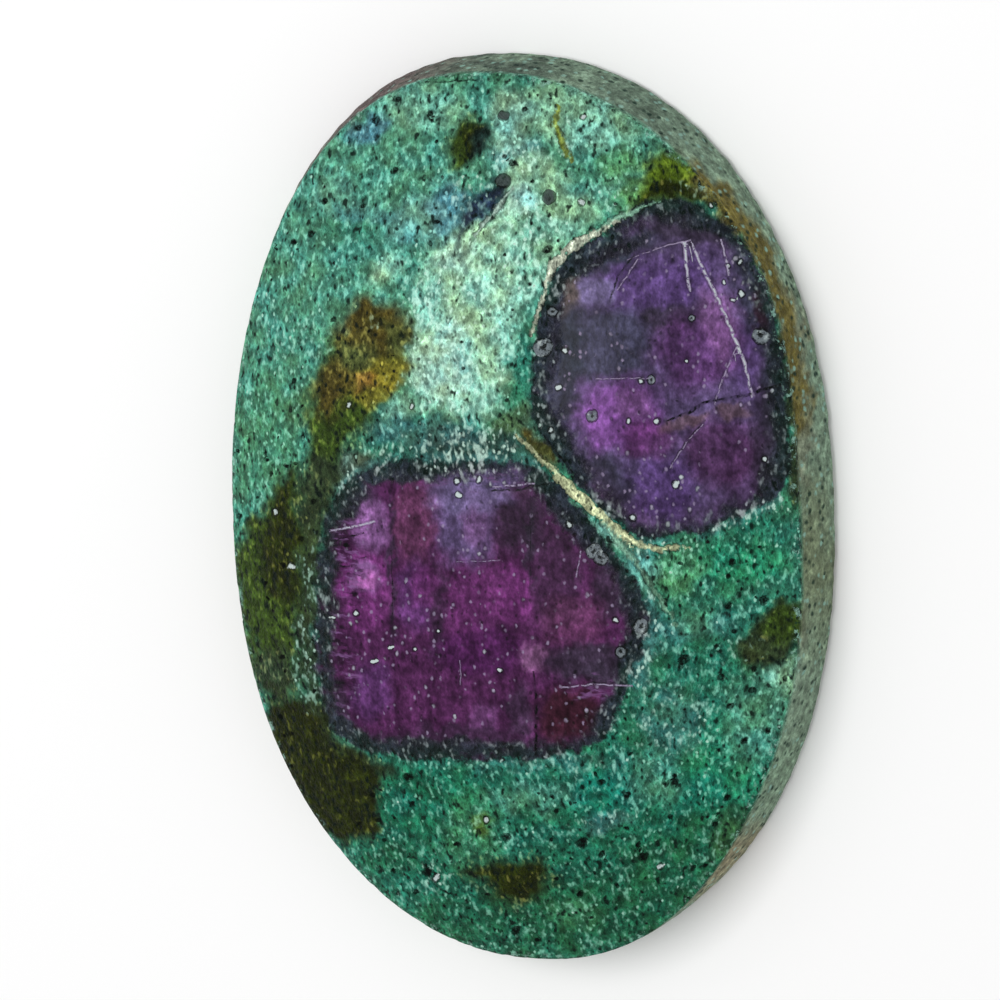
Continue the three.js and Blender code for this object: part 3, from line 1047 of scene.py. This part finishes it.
def round_mark(tree, name):
    """0 in the middle of the nearest of some round marks, and 1 on its outline."""
    across, down, away = attribute(tree, name, "Vector").parts()
    squared = across * across + down * down
    return squared.math("SQRT", squared) + away.fade(*MARK_EDGE) * OUTSIDE


def beside_line(tree, name):
    """Pixels from the side of the nearest of some lines, negative in it."""
    left, away, half = attribute(tree, name, "Vector").parts()
    return left.math("ABSOLUTE", left) - half + away.fade(*LINE_END) * OUTSIDE


class Grains:
    """Small round marks, one in each cell of a size, which the looks share out by their lots."""

    def __init__(self, place, per_mm, reach):
        tree = place.tree
        self.distance = node(tree, "TexVoronoi", {"Vector": place, "Scale": per_mm}, "Distance")
        lots = Signal(tree, self.distance.socket.node.outputs["Color"])
        self.lot = node(tree, "SeparateColor", {0: lots})
        self.reach = reach

    def spots(self, growth):
        return self.distance.fade(self.reach * growth, self.reach * growth * 0.3)

    def high(self, share, growth=1.0):
        """The marks whose lots are in the highest share, the fullest the strongest."""
        return self.spots(growth) * (self.lot + (share - 1.0)).fade(0.0, LOT_EDGE)

    def low(self, share, growth=1.0):
        """The marks whose lots are in the lowest share."""
        return self.spots(growth) * (share - self.lot).fade(0.0, LOT_EDGE)


def shared_textures(tree):
    """The places and textures that more than one look draws on."""
    place = node(tree, "TexCoord", {}, "Object").times((1.0 / MM, 1.0 / MM, 1.0 / MM))
    bent = place.wandering(*BEND)
    upright = bent.times(GRAIN_STRETCH)
    return SimpleNamespace(
        tree=tree,
        bent=bent,
        grit=cloud(place, "grit"),
        scales=cloud(place, "scales"),
        broad=cloud(place, "broad"),
        patchy=cloud(place, "patchy"),
        ragged=cloud(place, "ragged"),
        fine=cloud(bent, "fine"),
        fine_grains=Grains(upright, *FINE_GRAINS),
        grains=Grains(upright.times(COARSE_STRETCH), *COARSE_GRAINS),
        specks=Grains(bent, *ROCK_SPECKS),
        tint=attribute(tree, "rock", "Vector"),
        crowd=attribute(tree, "crowd"),
    )


def rock_look(shared, tint, crowd, rim):
    """The fuchsite: fine green mica with pale glints and dark gaps between its scales."""
    contrast = shared.grit * 1.8 + shared.broad * 1.3 + crowd * 0.1 + 0.05
    pale = mixed(shared.tree, "straw", "mist", shared.crowd.fade(-0.3, 0.0))
    pale = pale.under(("frost", shared.crowd.fade(0.0, 0.7)), ("ice", rim))
    glint = mixed(shared.tree, tint.brighter(GLINT_BRIGHTNESS), pale, 0.5 + crowd * 0.3)
    gap = mixed(shared.tree, tint.brighter(GAP_BRIGHTNESS), "pitch green", 0.2)
    scales = shared.scales + crowd * 0.07
    glinting = crowd * 0.2 + shared.patchy * 0.2 + 0.26
    frosty = crowd * 0.15 + shared.patchy * 0.3 + 0.06
    colour = tint.brighter(contrast.power_of(CONTRAST_BASE)).under(
        (gap, (scales - shared.broad * 0.3).fade(-0.1, -0.48)),
        (glint, (scales + shared.patchy * 0.4).fade(0.1, 0.55)),
        (gap, shared.grains.low(0.26) * 0.75),
        (glint, shared.fine_grains.high(glinting)),
        ("frost", shared.fine_grains.high(frosty, 0.8)),
        ("black", shared.specks.high(0.3)),
    )
    return colour, contrast + scales


def ruby_look(shared):
    """The ruby: columns and faint steps, with dark pits, and pale motes ringed by painted shadow."""
    tint = attribute(shared.tree, "ruby", "Vector")
    contrast = cloud(shared.bent, "columns") * 1.1 + cloud(shared.bent, "bars") * 0.6
    contrast = contrast + shared.grit * 1.4 + shared.broad * 1.0 - 0.04
    steps = attribute(shared.tree, "steps")
    dashes = cloud(shared.bent, "dashes")
    motes = shared.crowd * 0.3 + shared.patchy * 0.25 + 0.06
    return tint.brighter(contrast.power_of(CONTRAST_BASE)).under(
        ("lilac", dashes.fade(0.05, 0.4) * steps),
        ("black", dashes.fade(-0.05, -0.45) * steps),
        ("black", shared.fine_grains.low(0.2) * 0.6),
        ("scratch lilac", shared.fine_grains.high(shared.crowd * 0.3 + 0.18) * 0.7),
        # Painted shadow: a dark ring around each pale mote.
        ("black", shared.grains.high(motes, 1.5) * 0.7),
        ("black", shared.grains.low(0.12) * 0.7),
        ("scratch lilac", shared.grains.high(motes)),
        ("ice", shared.grains.high(motes * 0.4, 1.2)),
    )


def ground_look(shared):
    """The wall and underside, ground but not polished: dull, with dark and pale specks."""
    place = shared.bent.times(GROUND_STRETCH)
    contrast = cloud(place, "ground") * 1.4 + shared.broad * 0.9 + shared.grit * 0.9 + 0.25
    specks = Grains(place, *GROUND_SPECKS)
    return shared.tint.brighter(contrast.power_of(GROUND_CONTRAST_BASE)).under(
        ("pitch green", specks.low(0.4, 1.25) * 0.9),
        ("mist", specks.high(0.32, 1.15) * 0.8),
    )


def rim_tint(shared, depth, in_rim):
    """The rock's tint with its warm and cool patches, and with the rubies' dark rims."""
    shell = mixed(shared.tree, "rim blue", "rim green", shared.patchy.fade(-0.3, 0.3))
    varied = shared.tint.times(mixed(shared.tree, WARM, COOL, shared.patchy.fade(-0.5, 0.5)))
    return shared.tint.under(
        (varied, shared.crowd.fade(-0.8, -0.1)),
        ("sea", depth.fade(-0.4, -0.05) * shared.crowd.fade(0.2, 0.7) * 0.6),
        (shell.under(("shadow", depth.fade(0.2, 0.9) * 0.6)), in_rim),
    )


def edge_marks(shared):
    """The worn crease, with pale and dark chips."""
    edge = attribute(shared.tree, "edge_gap").fade(0.32, 0.06)
    return [
        ("mist", edge * shared.ragged.fade(0.08, 0.3) * 0.8),
        ("pitch green", edge * shared.ragged.fade(-0.1, -0.35) * 0.9),
    ]


def vein_marks(shared):
    """Pale veins, broken by the rock's scales and dark along their sides."""
    vein = beside_line(shared.tree, "vein") + (shared.fine * 3.0 + shared.grit * 5.0)
    tint = attribute(shared.tree, "vein_tint", "Vector")
    tint = tint.brighter((shared.grit * 3.0).power_of(CONTRAST_BASE))
    return [
        ("black", vein.fade(3.5, 1.0) * shared.broad.fade(-0.2, 0.2) * 0.8),
        (tint, vein.fade(1.5, -1.5) * shared.scales.fade(-0.5, -0.15) * 0.9),
    ]


def ring_marks(shared):
    """Dark rings with grey bodies, which in the rubies have a dark middle."""
    ring = round_mark(shared.tree, "ring") + shared.fine * 0.5
    in_ruby = attribute(shared.tree, "ruby_depth").fade(-0.1, 0.0)
    body = mixed(shared.tree, "pebble", "ring grey", in_ruby).under(
        ("ice", shared.grit.fade(0.0, 0.6) * in_ruby),
        ("black", shared.scales.fade(-0.1, -0.5) * 0.7),
    )
    return [
        ("black", ring.fade(1.6, 1.2) * 0.8),
        (body, ring.fade(1.1, 0.8) * shared.fine.fade(-0.5, 0.0) * 0.9),
        ("black", ring.fade(0.45, 0.2) * in_ruby * 0.9),
    ]


def fine_marks(shared):
    """Single pale grains ringed by painted shadow, pale broken scratches and dark cracks."""
    grain = round_mark(shared.tree, "grain") + shared.fine * 0.9
    scratch = beside_line(shared.tree, "scratch") + shared.fine * 0.8
    broken = shared.fine.fade(-0.3, 0.15)
    crack = beside_line(shared.tree, "crack") + shared.fine * 1.5
    return [
        # Painted shadow: a dark ring around each pale grain.
        ("black", grain.fade(2.0, 1.3) * 0.7),
        ("ice", grain.fade(1.0, 0.5)),
        ("black", scratch.fade(1.8, 0.6) * broken * 0.4),
        ("scratch lilac", scratch.fade(0.5, -0.5) * broken),
        ("ice", scratch.fade(-0.4, -1.6) * broken),
        ("black", crack.fade(0.9, -0.9) * shared.grit.fade(-0.3, 0.2)),
    ]


def new_material(name):
    """A new material and its shader's sockets."""
    material = bpy.data.materials.new(name)
    material.use_nodes = True
    return material, material.node_tree.nodes["Principled BSDF"].inputs


def stone_material():
    material, sockets = new_material("ruby in fuchsite")
    tree = material.node_tree
    shared = shared_textures(tree)
    side = attribute(tree, "side").fade(0.3, 0.7)
    depth = attribute(tree, "ruby_depth") + shared.ragged * 0.3
    in_rim = depth.fade(-0.1, 0.14)
    past_rim = (depth + shared.broad * 0.3 - attribute(tree, "shell") * 0.9).fade(-0.05, 1.0)
    speck = (round_mark(tree, "speck") + shared.fine * 0.9).fade(1.3, 0.8)
    speck = speck * (shared.fine.fade(-0.5, 0.2) * 0.4 + 0.6)

    tint = rim_tint(shared, depth, in_rim)
    rock, contrast = rock_look(shared, tint, shared.crowd - in_rim * 0.6, in_rim)
    colour = rock.under(
        (ground_look(shared), side),
        (ruby_look(shared), past_rim),
        *edge_marks(shared),
        *vein_marks(shared),
        *ring_marks(shared),
        *fine_marks(shared),
        ("black", speck),
    )
    height = contrast * (1.0 - past_rim * 0.95)
    bump = node(tree, "Bump", {"Distance": BUMP_DISTANCE * MM, "Height": height})
    roughness = in_rim * RIM_ROUGHNESS + ROUGHNESS + speck * SPECK_ROUGHNESS + side * GROUND_ROUGHNESS
    plug(tree, sockets["Base Color"], colour)
    plug(tree, sockets["Roughness"], roughness)
    plug(tree, sockets["Normal"], bump)
    sockets["IOR"].default_value = IOR
    sockets["Specular IOR Level"].default_value = SPECULAR
    return material


# ---------------------------------------------------------------- the stone


def lay_attributes(mesh, marks):
    for name, values in marks.items():
        kind, field = ("FLOAT", "value") if values.ndim == 1 else ("FLOAT_VECTOR", "vector")
        layer = mesh.attributes.new(name, kind, "POINT")
        layer.data.foreach_set(field, values.astype(np.float32).ravel())


def on_sheet(points, sheet):
    """Where points (n, 3) lie on the texture, from a sheet's left, foot and millimetre."""
    left, foot, size = sheet
    flat = points[:, :2]
    return (flat - flat.min(axis=0)) * size + (left, foot)


def on_strips(levels, count):
    """Corners of the wall's faces on the texture, level by level, in upright strips."""
    per_strip = count // STRIPS
    level, place = np.meshgrid(np.arange(levels), np.arange(count), indexing="ij")
    left = STRIP_LEFT + place // per_strip * STRIP_PITCH
    corners = [
        (left + (level + down) / levels * STRIP_WIDTH,
         STRIP_FOOT + (place % per_strip + onward) / per_strip * STRIP_LENGTH)
        for down, onward in ((0, 0), (1, 0), (1, 1), (0, 1))
    ]
    return np.array(corners).transpose(2, 3, 0, 1).reshape(-1, 2)


def lay_out(mesh, points):
    """The texture's layout: the face and underside as seen from above, and the wall in strips."""
    at = np.zeros(len(mesh.loops), dtype=int)
    mesh.loops.foreach_get("vertex_index", at)
    place = on_sheet(points, UNDERSIDE_SHEET)[at]
    face = 4 * FACE_COLUMNS * FACE_ROWS
    place[:face] = on_sheet(points, FACE_SHEET)[at[:face]]
    wall = on_strips(WALL_ROWS + BEVEL_ROWS, 2 * (FACE_COLUMNS + FACE_ROWS))
    place[face:face + len(wall)] = wall
    layer = mesh.uv_layers.new(name="OFBake")
    layer.data.foreach_set("uv", place.astype(np.float32).ravel())


def make_stone():
    points, faces, side, edge_gap = stone_surface()
    mesh = bpy.data.meshes.new("stone")
    mesh.from_pydata((points * MM).tolist(), [], faces)
    outward = np.zeros(len(points) * 3)
    mesh.vertex_normals.foreach_get("vector", outward)

    marks = read_markings(points, side, edge_gap)
    points = points + outward.reshape(-1, 3) * relief(points, side, marks)[:, None]
    points[:, 2] = np.maximum(points[:, 2], 0.0)
    mesh.vertices.foreach_set("co", (points * MM).ravel())
    mesh.update()
    mesh.shade_smooth()
    lay_attributes(mesh, marks)
    lay_out(mesh, points)
    mesh.materials.append(stone_material())
    return added("stone", mesh)


# ---------------------------------------------------------------- floor and light

FLOOR_HALF = 2.0  # metres
FLOOR_COLOUR = (0.93, 0.93, 0.93, 1)
FLOOR_ROUGHNESS = 0.9
SKY_STRENGTH = 0.62
SOFTBOX_PLACE = (-60, 66, 300)
SOFTBOX_SIZE = (110, 190)
SOFTBOX_WATTS = 0.5
SOFTBOX_AIM = (0, 0, 3)


def make_stage():
    mesh = bpy.data.meshes.new("floor")
    corners = [(x * FLOOR_HALF, y * FLOOR_HALF, 0) for x, y in ((-1, -1), (1, -1), (1, 1), (-1, 1))]
    mesh.from_pydata(corners, [], [(0, 1, 2, 3)])
    paint, sockets = new_material("floor")
    sockets["Base Color"].default_value = FLOOR_COLOUR
    sockets["Roughness"].default_value = FLOOR_ROUGHNESS
    mesh.materials.append(paint)
    floor = added("floor", mesh)


def make_softbox():
    data = bpy.data.lights.new("softbox", "AREA")
    data.shape = "RECTANGLE"
    data.size, data.size_y = SOFTBOX_SIZE[0] * MM, SOFTBOX_SIZE[1] * MM
    data.energy = SOFTBOX_WATTS
    place = Vector(SOFTBOX_PLACE)
    facing = (place - Vector(SOFTBOX_AIM)).to_track_quat("Z", "Y").to_matrix().to_4x4()
    added("softbox", data).matrix_world = Matrix.Translation(place * MM) @ facing


def make_lighting():
    world = bpy.data.worlds.new("studio")
    world.use_nodes = True
    sky = world.node_tree.nodes["Background"].inputs
    sky["Color"].default_value = (1, 1, 1, 1)
    sky["Strength"].default_value = SKY_STRENGTH
    bpy.context.scene.world = world
    make_softbox()
    bpy.context.scene.view_settings.view_transform = "Standard"


make_camera()
make_stage()
make_lighting()
stone = make_stone()
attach(stone, "root")
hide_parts("cabochon")
